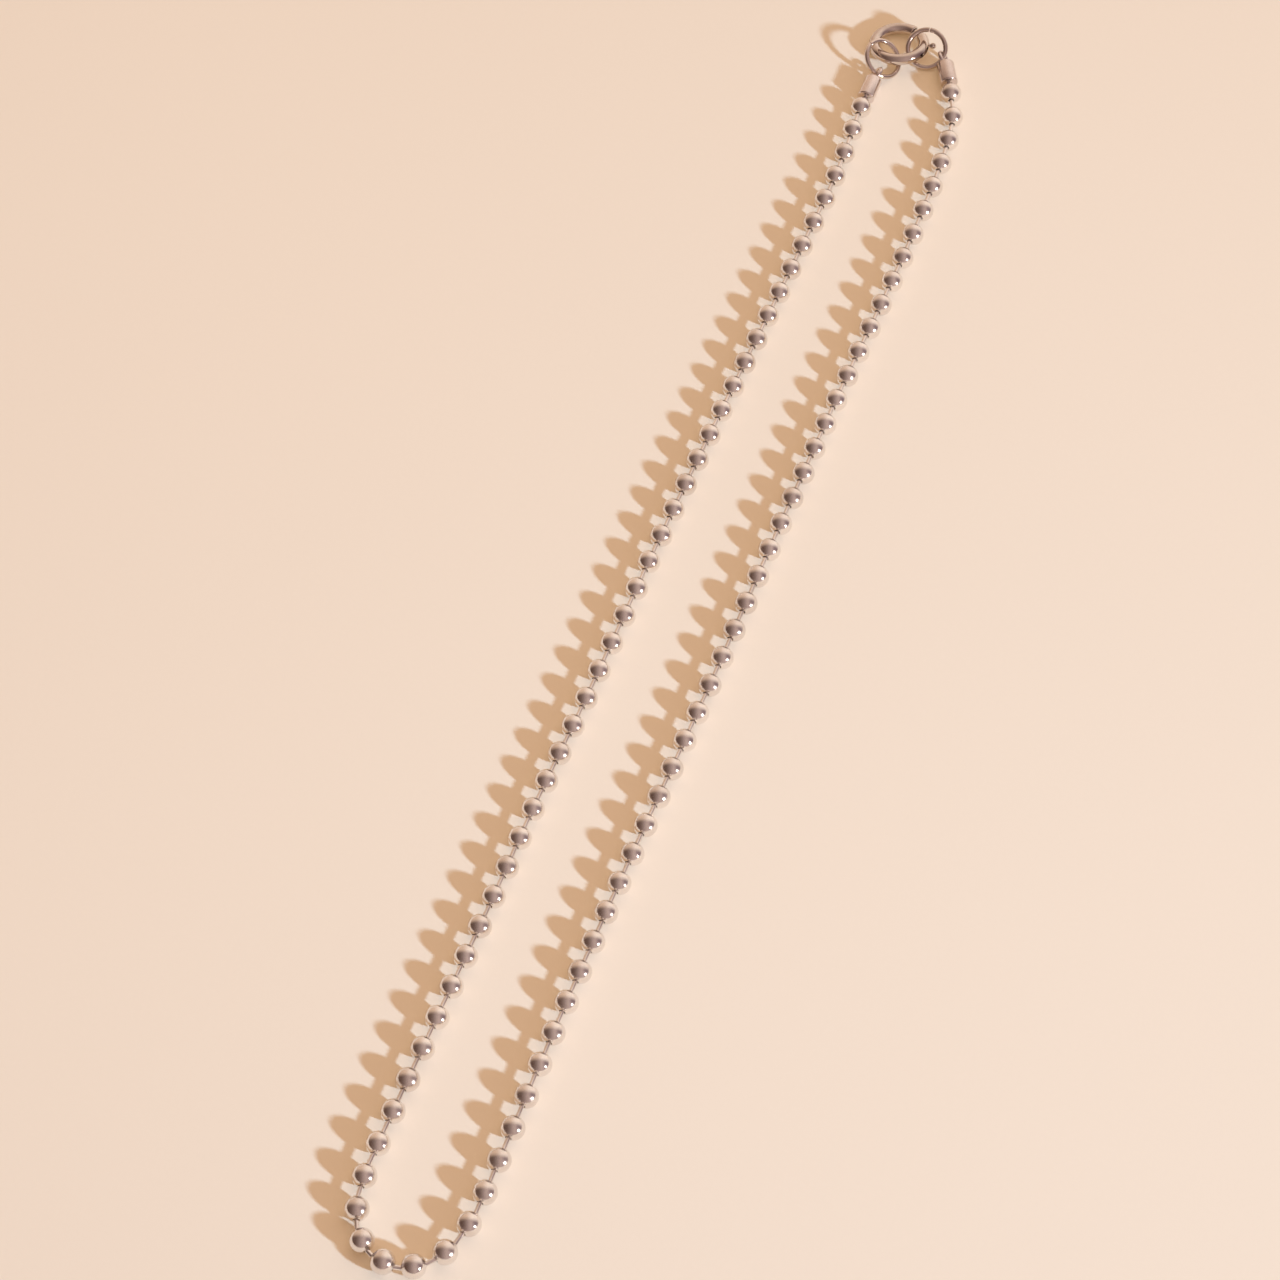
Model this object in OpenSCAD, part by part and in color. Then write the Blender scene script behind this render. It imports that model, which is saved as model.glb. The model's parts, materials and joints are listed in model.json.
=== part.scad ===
// Ball chain necklace lying closed on a table, with a spring ring clasp.
// Millimetres, +Z up, Z = 0 is the table. The clasp is at +Y, the bend at -Y.
// The origin is the middle of the outline, on the table.

/* [Ball chain] */
// Outside diameter of one ball
ball_d = 3; // [2.8:0.1:3.3]
// Thickness of the rolled shell of a ball
ball_wall = 0.24; // [0.2:0.02:0.28]
// Bare neck of a link that shows between two balls on average
link_gap = 1.37; // [1.2:0.01:1.6]
// Diameter of a link's neck
link_d = 0.46; // [0.4:0.02:0.5]
// Radial play of a link's neck in the hole of a ball
link_play = 0.18; // [0.16:0.01:0.2]
// How far a link's head is wider than the hole, at each side
head_hold = 0.04; // [0.02:0.01:0.06]
// Space between the two heads inside a ball
head_apart = 0.12; // [0.1:0.01:0.14]

/* [End caps] */
// Outside diameter of the barrel of an end cap
cap_d = 2.5; // [2.3:0.1:3]
// Length of the barrel
cap_len = 3.7; // [3.2:0.1:4.4]
// Wall of the barrel
cap_wall = 0.35; // [0.25:0.05:0.45]
// Thickness of the barrel's floor under the loop
cap_floor = 0.6; // [0.5:0.1:1]
// Thickness of the lip that holds the last link
cap_lip = 0.3; // [0.2:0.05:0.4]
// Rounding of the barrel's outer edges
cap_edge = 0.2; // [0.1:0.05:0.3]
// Bare neck of a link between a ball and a cap
cap_gap = 0.6; // [0.5:0.05:0.9]
// Wire diameter of the loop on the cap
loop_wire_d = 0.56; // [0.5:0.02:0.7]
// Radial play of the jump ring's wire in the loop
loop_play = 0.42; // [0.36:0.02:0.5]

/* [Jump rings] */
// Wire diameter of a jump ring
jump_wire_d = 0.7; // [0.6:0.05:0.75]
// Radial play of the clasp's tube in a jump ring
jump_play = 1.55; // [1.45:0.05:1.7]
// Width of the cut where a jump ring was closed
jump_cut = 0.08; // [0.04:0.02:0.12]

/* [Spring ring] */
// Outside diameter of the clasp
ring_d = 8.7; // [8.2:0.1:9.4]
// Outside diameter of its tube
tube_d = 1.6; // [1.5:0.05:1.8]
// Wall of the tube
tube_wall = 0.25; // [0.18:0.01:0.3]
// Radial play of the bolt in the tube
bolt_play = 0.1; // [0.08:0.01:0.12]
// How far the gate is wider than a jump ring's wire, at each side
gate_play = 0.45; // [0.35:0.05:0.6]
// How far the closed bolt reaches into the far end of the tube
bolt_reach = 0.3; // [0.2:0.05:0.5]
// Diameter of the thumb knob
knob_d = 0.9; // [0.7:0.05:1]
// Diameter of the knob's stem
stem_d = 0.5; // [0.4:0.05:0.6]
// Play of the stem in its slot, at each side
stem_play = 0.1; // [0.06:0.01:0.14]

/* [Hidden] */
$fn = 48;

// Chosen points of the chain's route: share of the run in percent, x, y
route = [
    [0, -3.3, 94.3],
    [3.5, -2.4, 80.6],
    [8, -2.5, 62.8],
    [20, -3.0, 16.9],
    [27, -2.8, -10.5],
    [32, -2.9, -29.6],
    [35, -2.7, -41.1],
    [44, -2.6, -75.7],
    [45.5, -2.4, -81.4],
    [46.5, -1.7, -85.0],
    [47.5, 0.0, -88.1],
    [48.5, 2.7, -89.9],
    [49.5, 5.8, -90.0],
    [50.5, 8.6, -88.3],
    [51.5, 10.5, -85.2],
    [52.5, 11.2, -81.4],
    [54, 11.3, -75.8],
    [60, 10.9, -52.8],
    [66, 10.8, -29.9],
    [72, 11.0, -6.8],
    [80, 10.8, 24.4],
    [86, 10.8, 47.2],
    [92, 11.1, 70.4],
    [96, 10.7, 86.3],
    [98.5, 9.7, 96.0],
    [100, 7.7, 101.5]
];

// Directions in which the caps lie, seen from above, and how far they are rolled
cap_left_az = 91;
cap_left_roll = 36;
cap_right_az = 118;
cap_right_roll = -36;
// Each jump ring leans: the side that is raised, the lean, and where it is linked
jump_left_az = 167;
jump_left_lean = 35;
jump_left_link = 103;
jump_right_az = 100;
jump_right_lean = 36;
jump_right_link = 247;
// The clasp's raised side, its lean, and how far the jump rings have slid outwards
ring_az = -44;
ring_lean = 9.8;
ring_slide = 0.56;
// Places round the clasp, as angles from its raised side
gate_at = 100;
knob_at = 56;
bolt_tail = 22;
// How far the bolt draws back past the gate's edge, as an angle
bolt_spare = 2;

// Sizes that follow from the ones above
ball_r = ball_d / 2;
hole_d = link_d + 2 * link_play;
head_d = hole_d + 2 * head_hold;
// The middle of the wall of a ball's hole, from the ball's centre
mouth_out = (sqrt(ball_r ^ 2 - hole_d ^ 2 / 4) + sqrt((ball_r - ball_wall) ^ 2 - hole_d ^ 2 / 4)) / 2;
head_in = mouth_out - (head_d + head_apart) / 2;
loop_r = (jump_wire_d + 2 * loop_play + loop_wire_d) / 2;
loop_out = cap_len + loop_r;
jump_r = (tube_d + 2 * jump_play + jump_wire_d) / 2;
jump_cut_a = jump_cut / jump_r * 180 / PI;
ring_r = (ring_d - tube_d) / 2;
bolt_d = tube_d - 2 * tube_wall - 2 * bolt_play;
gate_a = (jump_wire_d + 2 * gate_play) / ring_r * 180 / PI;
reach_a = bolt_reach / ring_r * 180 / PI;
travel_a = gate_a + reach_a + bolt_spare;
slot_a = (stem_d + 2 * stem_play) / (ring_r + bolt_d / 2) * 180 / PI;
knob_r = ring_r + tube_d / 2 + knob_d / 2 + stem_play;

// A point on the route at a share of the run, by a smooth curve through the rows
function point(k) = [route[k][1], route[k][2]];
function slope(k) =
    let (lo = max(k - 1, 0), hi = min(k + 1, len(route) - 1))
    (point(hi) - point(lo)) / (route[hi][0] - route[lo][0]);
function span(s, k = 0) = k >= len(route) - 2 || s < route[k + 1][0] ? k : span(s, k + 1);
function on_route(s) =
    let (k = span(s), w = route[k + 1][0] - route[k][0], t = (s - route[k][0]) / w)
    point(k) * (2 * t ^ 3 - 3 * t ^ 2 + 1) + slope(k) * w * (t ^ 3 - 2 * t ^ 2 + t)
    + point(k + 1) * (3 * t ^ 2 - 2 * t ^ 3) + slope(k + 1) * w * (t ^ 3 - t ^ 2);
function sum(v, i = 0) = i < len(v) ? v[i] + sum(v, i + 1) : 0;
function dir(az) = [cos(az), sin(az), 0];
function unit(v) = v / norm(v);

// The run is filled with whole balls at the named pitch
run_len = sum([for (s = [0 : 1 : 99]) norm(on_route(s + 1) - on_route(s))]);
last = round(run_len / (ball_d + link_gap));
ball_at = [for (i = [0 : last]) concat(on_route(100 * i / last), [ball_r])];
cap_step = ball_r + cap_gap;
mouth_left = [ball_at[0].x, ball_at[0].y, cap_d / 2] + cap_step * dir(cap_left_az);
mouth_right = [ball_at[last].x, ball_at[last].y, cap_d / 2] + cap_step * dir(cap_right_az);
// The line along which each ball is threaded
function thread(i) =
    i == 0 ? unit(ball_at[1] - mouth_left)
    : i == last ? unit(mouth_right - ball_at[last - 1])
    : unit(ball_at[i + 1] - ball_at[i - 1]);

// A point on a leaning circle: its centre, raised side, lean, radius and angle
function on_ring(c, az, lean, r, a) =
    c + r * (cos(a) * (cos(lean) * dir(az) + [0, 0, sin(lean)]) + sin(a) * dir(az + 90));
// The centre of a jump ring whose wire passes through a cap's loop
function jump_centre(hook, az, lean, a) =
    let (c = hook - on_ring([0, 0, 0], az, lean, jump_r, a))
    [c.x, c.y, jump_r * sin(lean) + jump_wire_d / 2];
hook_left = mouth_left + loop_out * dir(cap_left_az);
hook_right = mouth_right + loop_out * dir(cap_right_az);
jump_left_c = jump_centre(hook_left, jump_left_az, jump_left_lean, jump_left_link);
jump_right_c = jump_centre(hook_right, jump_right_az, jump_right_lean, jump_right_link);
// The clasp's circle lies on the far side of both jump rings
ring_c =
    let (m = (jump_left_c + jump_right_c) / 2, d = jump_right_c - jump_left_c,
         half = norm([d.x, d.y]) / 2, across = [-d.y, d.x, 0] / (2 * half),
         off = sqrt((ring_r + ring_slide) ^ 2 - half ^ 2))
    [m.x + off * across.x, m.y + off * across.y, ring_r * sin(ring_lean) + tube_d / 2];

// The outline's sides, for the origin in its middle
side_left = min(ring_c.x - ring_r * sqrt(1 - (sin(ring_lean) * cos(ring_az)) ^ 2) - tube_d / 2,
                min([for (p = ball_at) p.x]) - ball_r);
side_right = max([for (p = ball_at) p.x]) + ball_r;
side_near = min([for (p = ball_at) p.y]) - ball_r;
side_far = ring_c.y + ring_r * sqrt(1 - (sin(ring_lean) * sin(ring_az)) ^ 2) + tube_d / 2;
middle = [(side_left + side_right) / 2, (side_near + side_far) / 2, 0];

// Lays a leaning ring's own frame at its centre
module lean(c, az, angle) {
    translate(c - middle) rotate([0, 0, az]) rotate([0, -angle, 0]) children();
}

// Points a shape that stands on +Z along a line from a
module along(a, d) {
    translate(a - middle) rotate([0, acos(d.z / norm(d)), atan2(d.y, d.x)]) children();
}

// Half of the plane, for shapes that are turned round Z
module right_half(h) {
    translate([0, -h]) square([h, 2 * h]);
}

// A hollow ball with two holes on Z
module ball() {
    rotate_extrude() intersection() {
        right_half(ball_d);
        difference() {
            circle(d = ball_d);
            circle(d = ball_d - 2 * ball_wall);
            square([hole_d, 2 * ball_d], center = true);
        }
    }
}

// A link: a neck with a round head at each end
module link(a, b) {
    length = norm(b - a);
    along(a, b - a) rotate_extrude() intersection() {
        right_half(length + head_d);
        union() {
            circle(d = head_d);
            translate([0, length]) circle(d = head_d);
            translate([-link_d / 2, 0]) square([link_d, length]);
        }
    }
}

// A link between two mouths, with its heads behind them
module link_between(m, n) {
    d = head_in * unit(n - m);
    link(m - d, n + d);
}

module balls() {
    color("silver") for (i = [0 : last]) along(ball_at[i], thread(i)) ball();
}

module links() {
    color("lightgray") {
        for (i = [0 : last - 1])
            link_between(ball_at[i] + mouth_out * thread(i), ball_at[i + 1] - mouth_out * thread(i + 1));
        link_between(mouth_left + cap_lip / 2 * dir(cap_left_az), ball_at[0] - mouth_out * thread(0));
        link_between(ball_at[last] + mouth_out * thread(last), mouth_right + cap_lip / 2 * dir(cap_right_az));
    }
}

// A barrel that stands on Z with its mouth down and a loop soldered on top
module end_cap() {
    r = cap_d / 2;
    bore = r - cap_wall;
    rotate_extrude() difference() {
        union() {
            translate([0, cap_edge]) square([r, cap_len - 2 * cap_edge]);
            square([r - cap_edge, cap_len]);
            intersection() {
                translate([r - cap_edge, cap_edge]) circle(r = cap_edge);
                square([r, cap_len]);
            }
            intersection() {
                translate([r - cap_edge, cap_len - cap_edge]) circle(r = cap_edge);
                square([r, cap_len]);
            }
        }
        translate([0, cap_lip]) square([bore, cap_len - cap_lip - cap_floor]);
        translate([0, -cap_lip]) square([hole_d / 2, cap_len - cap_floor]);
    }
    translate([0, 0, loop_out]) rotate([0, 90, 0])
        rotate_extrude() translate([loop_r, 0]) circle(d = loop_wire_d);
}

module end_cap_left() {
    color("silver") along(mouth_left, dir(cap_left_az)) rotate([0, 0, 90 + cap_left_roll]) end_cap();
}

module end_cap_right() {
    color("silver") along(mouth_right, dir(cap_right_az)) rotate([0, 0, 90 + cap_right_roll]) end_cap();
}

// A wire ring with a closed cut
module jump_ring(c, az, angle) {
    lean(c, az, angle) rotate_extrude(angle = 360 - jump_cut_a)
        translate([jump_r, 0]) circle(d = jump_wire_d);
}

module jump_ring_left() {
    color("gainsboro") jump_ring(jump_left_c, jump_left_az, jump_left_lean);
}

module jump_ring_right() {
    color("gainsboro") jump_ring(jump_right_c, jump_right_az, jump_right_lean);
}

// The clasp's tube, open at the gate and slotted for the knob
module spring_ring() {
    slot_w = stem_d + 2 * stem_play;
    color("silver") lean(ring_c, ring_az, ring_lean) difference() {
        rotate([0, 0, gate_at + gate_a / 2]) rotate_extrude(angle = 360 - gate_a)
            translate([ring_r, 0]) difference() {
                circle(d = tube_d);
                circle(d = tube_d - 2 * tube_wall);
            }
        rotate([0, 0, knob_at - travel_a - slot_a / 2]) rotate_extrude(angle = travel_a + slot_a)
            translate([ring_r, -slot_w / 2]) square([tube_d, slot_w]);
    }
}

// The bolt that shuts the gate, with the knob that draws it back
module bolt() {
    tip = gate_at + gate_a / 2 + reach_a;
    tail = knob_at - bolt_tail;
    color("lightgray") lean(ring_c, ring_az, ring_lean) {
        rotate([0, 0, tail]) rotate_extrude(angle = tip - tail)
            translate([ring_r, 0]) circle(d = bolt_d);
        rotate([0, 0, knob_at]) {
            translate([ring_r, 0, 0]) rotate([0, 90, 0]) cylinder(d = stem_d, h = knob_r - ring_r);
            translate([knob_r, 0, 0]) sphere(d = knob_d);
        }
    }
}

balls();
links();
end_cap_left();
end_cap_right();
jump_ring_left();
jump_ring_right();
spring_ring();
bolt();
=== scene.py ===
"""Ball chain necklace with a spring ring clasp, lying closed on a pale table.

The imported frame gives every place: the balls, links, caps and rings are measured from its nodes, and
each is replaced by a smoother piece with its own finish.
"""

import json
import logging
import math
import random
from dataclasses import dataclass, field
from enum import Enum

import bmesh
import bpy
import numpy as np
from mathutils import Matrix, Vector


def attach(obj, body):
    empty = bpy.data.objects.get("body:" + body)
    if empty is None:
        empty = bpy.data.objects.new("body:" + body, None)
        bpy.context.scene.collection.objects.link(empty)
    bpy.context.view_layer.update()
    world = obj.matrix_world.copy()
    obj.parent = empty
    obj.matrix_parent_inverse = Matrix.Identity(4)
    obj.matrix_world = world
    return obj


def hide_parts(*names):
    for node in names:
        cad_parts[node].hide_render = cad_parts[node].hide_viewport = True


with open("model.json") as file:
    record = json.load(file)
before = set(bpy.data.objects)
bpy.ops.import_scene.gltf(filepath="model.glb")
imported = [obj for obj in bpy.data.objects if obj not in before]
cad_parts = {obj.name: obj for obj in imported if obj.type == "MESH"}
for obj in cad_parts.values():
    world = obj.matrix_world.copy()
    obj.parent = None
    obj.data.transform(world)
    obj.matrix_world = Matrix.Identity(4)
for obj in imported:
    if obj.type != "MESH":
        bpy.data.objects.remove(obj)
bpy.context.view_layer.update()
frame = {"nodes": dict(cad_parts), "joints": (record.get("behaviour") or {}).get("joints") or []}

LOG = logging.getLogger("necklace")
MM = 0.001
FULL_TURN = 2 * math.pi
UP = Vector((0, 0, 1))
# The CAD bodies that the pieces ride on
NECKLACE = "necklace"
BOLT = "bolt"
# Vertices closer than this are one
SAME_SPOT = 1e-5 * MM
SAME_CAD_SPOT = 1e-3 * MM
# The angle from which an edge is shown sharp
CREASE = math.radians(40)
# How many steps an edge is rounded in
ROUND_STEPS = 3

Colour = tuple[float, float, float]
Place = tuple[float, float, float]
Outline = list[tuple[float, float]]
Socket = bpy.types.NodeSocket
Shape = bmesh.types.BMesh
Edge = bmesh.types.BMEdge
Geometry = list[bmesh.types.BMVert | Edge]


class Marks(Enum):
    """How a metal piece was worked, as the stretch of its fine lines along X, Y and Z."""

    TUMBLED = (1.0, 1.0, 1.0)
    DRAWN = (0.2, 1.0, 1.0)
    POLISHED = (1.0, 0.35, 1.0)


@dataclass(frozen=True)
class Pattern:
    """A noise pattern in a surface.

    Args:
        scale: its scale, per metre.
        detail: how many finer layers it has.
        roughness: how strong the finer layers are.
        span: the noise where it sets in and where it is full.
    """

    scale: float
    detail: float
    roughness: float
    span: tuple[float, float] = (0.0, 1.0)


@dataclass(frozen=True)
class SteelFinish:
    """A bright steel finish, with its colour variation, wear, roughness and fine marks.

    Args:
        name: the material's name.
        slot: the record's material slot; not used.
        colour: linear colour where the metal is clean.
        dull: linear colour where it is handled or tarnished.
        smooth: roughness of the best polished places.
        rough: roughness of the worn places.
        marks: how the surface was worked.
        bump: height of the marks, in millimetres.
        clouds: pattern of the dull places.
        smears: pattern of the smears.
        lines: pattern of the fine lines, before the marks stretch it.
        lined: brightness that the fine lines leave.
        smear_share: share of the smears in the wear, beside the dull places.
        line_share: height of the fine lines, as a share of the smears' height.
    """

    name: str
    slot: str
    colour: Colour
    dull: Colour
    smooth: float
    rough: float
    marks: Marks
    bump: float
    clouds: Pattern = Pattern(180.0, 3.0, 0.55, (0.38, 0.72))
    smears: Pattern = Pattern(900.0, 4.0, 0.6, (0.35, 0.75))
    lines: Pattern = Pattern(7000.0, 2.0, 0.7, (0.42, 0.8))
    lined: float = 0.9
    smear_share: float = 0.55
    line_share: float = 0.35

    def material(self) -> bpy.types.Material:
        """Builds the node material, or finds it if it is there already.

        Returns:
            The material.
        """
        found = bpy.data.materials.get(self.name)
        if found is not None:
            return found
        material = bpy.data.materials.new(self.name)
        material.use_nodes = True
        nodes = NodeTree(material.node_tree)
        shader = nodes.tree.nodes["Principled BSDF"]
        shader.inputs["Metallic"].default_value = 1.0
        coords = nodes.add("ShaderNodeTexCoord").outputs["Object"]
        cloud = nodes.noise(coords, self.clouds)
        smear = nodes.noise(coords, self.smears)
        line = nodes.noise(nodes.mapped(coords, self.marks.value), self.lines)
        dulled = nodes.ramp(cloud, self.clouds.span)
        tint = nodes.mix_colour(dulled, self.colour, self.dull)
        shaded = nodes.shade_by(tint, nodes.ramp(line, self.lines.span), self.lined)
        nodes.link(shaded, shader.inputs["Base Color"])
        rest = nodes.maths("MULTIPLY", dulled, 1 - self.smear_share)
        wear = nodes.maths("MULTIPLY_ADD", nodes.ramp(smear, self.smears.span), self.smear_share, rest)
        nodes.link(nodes.between(wear, self.smooth, self.rough), shader.inputs["Roughness"])
        bump = nodes.add("ShaderNodeBump")
        bump.inputs["Strength"].default_value = 1.0
        bump.inputs["Distance"].default_value = self.bump * MM
        nodes.link(nodes.maths("MULTIPLY_ADD", line, self.line_share, smear), bump.inputs["Height"])
        nodes.link(bump.outputs["Normal"], shader.inputs["Normal"])
        return material


@dataclass(frozen=True)
class PaperFinish:
    """The pale matt paper of the table, with a faint grain.

    Args:
        name: the material's name.
        colour: linear colour of the paper.
        shade: linear colour in the grain's hollows.
        grain: pattern of the grain.
        patches: pattern of the wide patches.
        bump: depth of the grain, in millimetres.
        grain_share: share of the grain in the colour, beside the patches.
        span: the noise where the shade ends and where the full colour starts.
        rough: roughness.
        gloss: strength of the mirrored light.
        strength: strength of the bump.
    """

    name: str
    colour: Colour
    shade: Colour
    grain: Pattern
    patches: Pattern
    bump: float
    grain_share: float = 0.4
    span: tuple[float, float] = (0.3, 0.7)
    rough: float = 0.9
    gloss: float = 0.15
    strength: float = 0.5

    def material(self) -> bpy.types.Material:
        """Builds the node material.

        Returns:
            The material.
        """
        material = bpy.data.materials.new(self.name)
        material.use_nodes = True
        nodes = NodeTree(material.node_tree)
        shader = nodes.tree.nodes["Principled BSDF"]
        shader.inputs["Roughness"].default_value = self.rough
        shader.inputs["Specular IOR Level"].default_value = self.gloss
        coords = nodes.add("ShaderNodeTexCoord").outputs["Object"]
        grain = nodes.noise(coords, self.grain)
        rest = nodes.maths("MULTIPLY", nodes.noise(coords, self.patches), 1 - self.grain_share)
        both = nodes.maths("MULTIPLY_ADD", grain, self.grain_share, rest)
        nodes.link(nodes.mix_colour(nodes.ramp(both, self.span), self.shade, self.colour),
                   shader.inputs["Base Color"])
        bump = nodes.add("ShaderNodeBump")
        bump.inputs["Strength"].default_value = self.strength
        bump.inputs["Distance"].default_value = self.bump * MM
        nodes.link(grain, bump.inputs["Height"])
        nodes.link(bump.outputs["Normal"], shader.inputs["Normal"])
        return material


class NodeTree:
    """Short ways to add and join the nodes of a material or world."""

    # Places of the colours among the sockets of a mix node
    MIX_FIRST = 6
    MIX_SECOND = 7
    MIX_RESULT = 2

    def __init__(self, tree: bpy.types.NodeTree) -> None:
        """Keeps the tree to add to."""
        self.tree = tree

    def add(self, kind: str) -> bpy.types.Node:
        """Adds a node of a kind."""
        return self.tree.nodes.new(kind)

    def link(self, source: Socket, target: Socket) -> None:
        """Joins two sockets."""
        self.tree.links.new(source, target)

    def feed(self, value: object, target: Socket) -> None:
        """Joins a socket to the target, or sets a plain value on it.

        Args:
            value: a socket, or a number or colour.
            target: the socket that takes it.
        """
        if isinstance(value, Socket):
            self.link(value, target)
        else:
            target.default_value = value

    def noise(self, coords: Socket, pattern: Pattern) -> Socket:
        """Adds a noise texture.

        Args:
            coords: the coordinates that it is read at.
            pattern: its scale and its layers.

        Returns:
            The noise's value.
        """
        node = self.add("ShaderNodeTexNoise")
        node.inputs["Scale"].default_value = pattern.scale
        node.inputs["Detail"].default_value = pattern.detail
        node.inputs["Roughness"].default_value = pattern.roughness
        self.link(coords, node.inputs["Vector"])
        return node.outputs["Fac"]

    def mapped(self, coords: Socket, scale: tuple[float, float, float], turn: float = 0.0) -> Socket:
        """Adds a mapping that scales the coordinates and turns them about Z.

        Args:
            coords: the coordinates.
            scale: their scale along X, Y and Z.
            turn: their turn, in radians.

        Returns:
            The new coordinates.
        """
        node = self.add("ShaderNodeMapping")
        node.inputs["Scale"].default_value = scale
        node.inputs["Rotation"].default_value = (0.0, 0.0, turn)
        self.link(coords, node.inputs["Vector"])
        return node.outputs["Vector"]

    def part(self, vector: Socket, axis: str) -> Socket:
        """Takes one coordinate out of a vector.

        Args:
            vector: the vector.
            axis: X, Y or Z.

        Returns:
            The coordinate.
        """
        node = self.add("ShaderNodeSeparateXYZ")
        self.link(vector, node.inputs["Vector"])
        return node.outputs[axis]

    def ramp(self, value: Socket, ends: tuple[float, float]) -> Socket:
        """Spreads a range of values smoothly over 0 to 1.

        Args:
            value: the value.
            ends: the values that become 0 and 1.

        Returns:
            The new value.
        """
        node = self.add("ShaderNodeMapRange")
        node.interpolation_type = "SMOOTHSTEP"
        node.inputs["From Min"].default_value = ends[0]
        node.inputs["From Max"].default_value = ends[1]
        self.link(value, node.inputs["Value"])
        return node.outputs["Result"]

    def between(self, value: Socket, low: float, high: float) -> Socket:
        """Spreads 0 to 1 over a range of values.

        Args:
            value: a value from 0 to 1.
            low: what 0 becomes.
            high: what 1 becomes.

        Returns:
            The new value.
        """
        node = self.add("ShaderNodeMapRange")
        node.inputs["To Min"].default_value = low
        node.inputs["To Max"].default_value = high
        self.link(value, node.inputs["Value"])
        return node.outputs["Result"]

    def maths(self, operation: str, first: object, second: object, third: object = None) -> Socket:
        """Adds a maths node.

        Args:
            operation: Blender's name of what it works out.
            first: its first input, a socket or a number.
            second: its second input.
            third: its third input, where the operation has one.

        Returns:
            The result.
        """
        node = self.add("ShaderNodeMath")
        node.operation = operation
        for value, socket in zip((first, second, third), node.inputs):
            if value is not None:
                self.feed(value, socket)
        return node.outputs["Value"]

    def mix_colour(self, factor: Socket, first: object, second: object) -> Socket:
        """Mixes two colours, which are sockets or linear triples.

        Args:
            factor: the share of the second colour.
            first: the first colour.
            second: the second colour.

        Returns:
            The mixed colour.
        """
        node = self.add("ShaderNodeMix")
        node.data_type = "RGBA"
        self.link(factor, node.inputs["Factor"])
        for value, place in ((first, self.MIX_FIRST), (second, self.MIX_SECOND)):
            plain = value if isinstance(value, Socket) else (*value, 1.0)
            self.feed(plain, node.inputs[place])
        return node.outputs[self.MIX_RESULT]

    def shade_by(self, colour: Socket, factor: Socket, least: float) -> Socket:
        """Darkens a colour towards a share of itself.

        Args:
            colour: the colour.
            factor: how far it is darkened, from 0 to 1.
            least: the share that is left where the factor is 1.

        Returns:
            The darkened colour.
        """
        node = self.add("ShaderNodeMix")
        node.data_type = "RGBA"
        node.blend_type = "MULTIPLY"
        self.link(factor, node.inputs["Factor"])
        self.link(colour, node.inputs[self.MIX_FIRST])
        node.inputs[self.MIX_SECOND].default_value = (least, least, least, 1.0)
        return node.outputs[self.MIX_RESULT]


BALL_STEEL = SteelFinish("ball_steel", "ball_metal", (0.90, 0.865, 0.84), (0.80, 0.75, 0.72), 0.13, 0.25,
                         Marks.TUMBLED, 0.0012)
LINK_STEEL = SteelFinish("link_steel", "link_metal", (0.90, 0.86, 0.84), (0.78, 0.73, 0.70), 0.1, 0.22,
                         Marks.DRAWN, 0.002)
CAP_STEEL = SteelFinish("cap_steel", "cap_metal", (0.82, 0.75, 0.73), (0.70, 0.62, 0.60), 0.14, 0.28,
                        Marks.POLISHED, 0.003)
# The jump rings' and the clasp's steel is darker than the balls' steel. This is painted shade: it stands in
# for the shade that falls in and around the clasp.
SHADED_WIRE_STEEL = SteelFinish("wire_steel_shaded", "wire_metal", (0.75, 0.66, 0.61), (0.61, 0.52, 0.47), 0.08, 0.18,
                         Marks.DRAWN, 0.002)
SHADED_CLASP_STEEL = SteelFinish("clasp_steel_shaded", "clasp_metal", (0.74, 0.66, 0.61), (0.60, 0.52, 0.47), 0.08, 0.18,
                          Marks.POLISHED, 0.002)
TABLE_PAPER = PaperFinish("table_paper", (0.806, 0.655, 0.524), (0.794, 0.645, 0.516),
                          Pattern(1500.0, 4.0, 0.6), Pattern(9.0, 2.0, 0.5), 0.02)


class Cloud:
    """The vertices of one loose part of a CAD node, and the directions that they spread in."""

    def __init__(self, points: np.ndarray) -> None:
        """Measures a set of points.

        Args:
            points: the points as rows, in metres.
        """
        self.points = points
        self.middle = Vector((points.max(0) + points.min(0)) / 2)
        _, ways = np.linalg.eigh(np.cov((points - points.mean(0)).T))
        self.shortest = Vector(ways[:, 0])
        self.longest = Vector(ways[:, 2])

    def reach(self, along: Vector) -> tuple[float, float]:
        """The lowest and highest place of the points along a direction."""
        places = self.points @ np.array(along)
        return float(places.min()), float(places.max())

    def beyond(self, along: Vector, place: float) -> "Cloud":
        """The points that lie further along a direction than a place."""
        return Cloud(self.points[self.points @ np.array(along) > place])


def loose_parts(node: str) -> list[Cloud]:
    """Splits a CAD node into its separate solids.

    Args:
        node: the name of the CAD node.

    Returns:
        One cloud for each solid.
    """
    bm = bmesh.new()
    bm.from_mesh(frame["nodes"][node].data)
    bmesh.ops.remove_doubles(bm, verts=bm.verts, dist=SAME_CAD_SPOT)
    parts: list[Cloud] = []
    seen: set[bmesh.types.BMVert] = set()
    for first in bm.verts:
        if first in seen:
            continue
        seen.add(first)
        stack = [first]
        found = []
        while stack:
            vertex = stack.pop()
            found.append(tuple(vertex.co))
            fresh = [v for v in (edge.other_vert(vertex) for edge in vertex.link_edges) if v not in seen]
            seen.update(fresh)
            stack.extend(fresh)
        parts.append(Cloud(np.array(found)))
    bm.free()
    return parts


def facing(centre: Vector, axis: Vector, spin: float = 0.0) -> Matrix:
    """The place of a shape that was made on +Z.

    Args:
        centre: where its origin goes.
        axis: where its +Z goes.
        spin: its turn about its own axis, in radians.

    Returns:
        The matrix that places it.
    """
    turn = axis.to_track_quat("Z", "Y").to_matrix().to_4x4()
    return Matrix.Translation(centre) @ turn @ Matrix.Rotation(spin, 4, "Z")


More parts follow.
